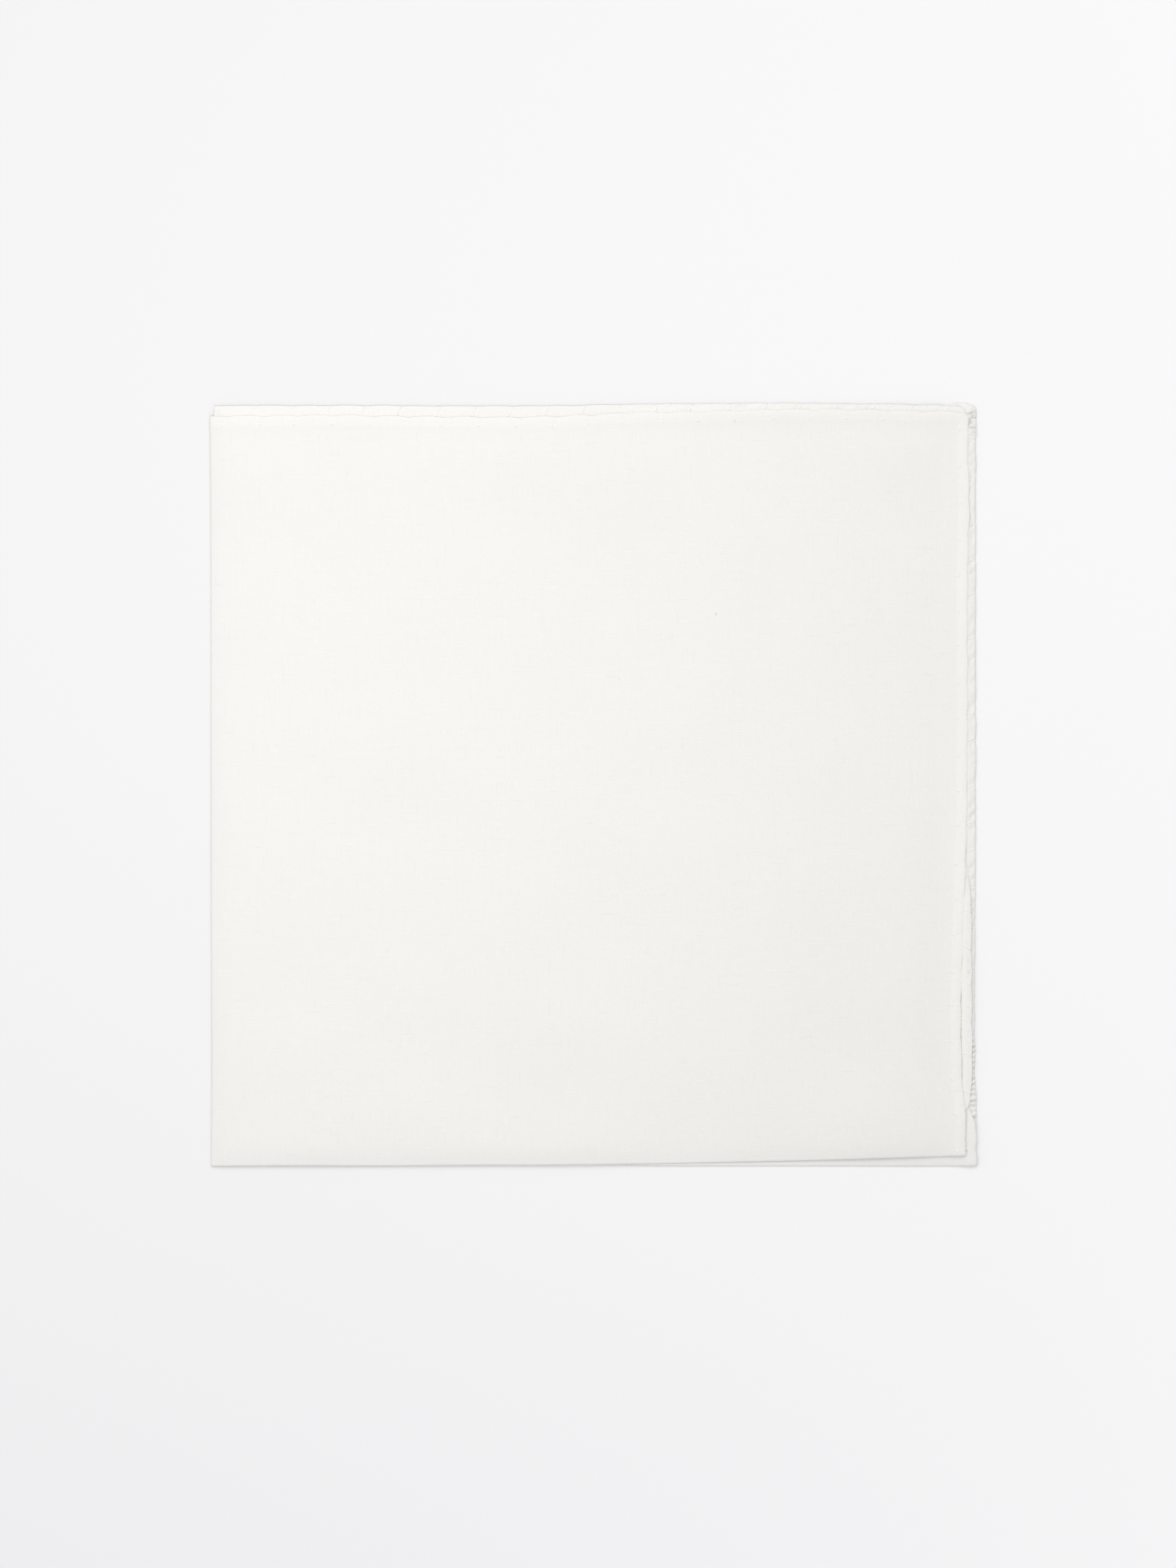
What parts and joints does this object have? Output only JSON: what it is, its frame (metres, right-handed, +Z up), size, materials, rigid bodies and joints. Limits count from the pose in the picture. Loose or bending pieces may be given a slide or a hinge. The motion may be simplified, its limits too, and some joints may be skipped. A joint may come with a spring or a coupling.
{
  "type": "folded cotton square scarf",
  "caption": "Small square cotton scarf with rolled hems, folded in quarters and lying flat, to rest on a surface.",
  "frame": {"origin": "middle of the underside of the folded square, on the surface it lies on", "axes": "+X towards the open right edges, away from the last fold; +Y towards the open back edges, away from the first folds; +Z up through the layers"},
  "size_m": [0.1646, 0.1644, 0.0063],
  "materials": {
    "white_cotton": "matt plain weave"
  },
  "bodies": {
    "root": {"scarf_cloth": "white_cotton"}
  },
  "joints": []
}
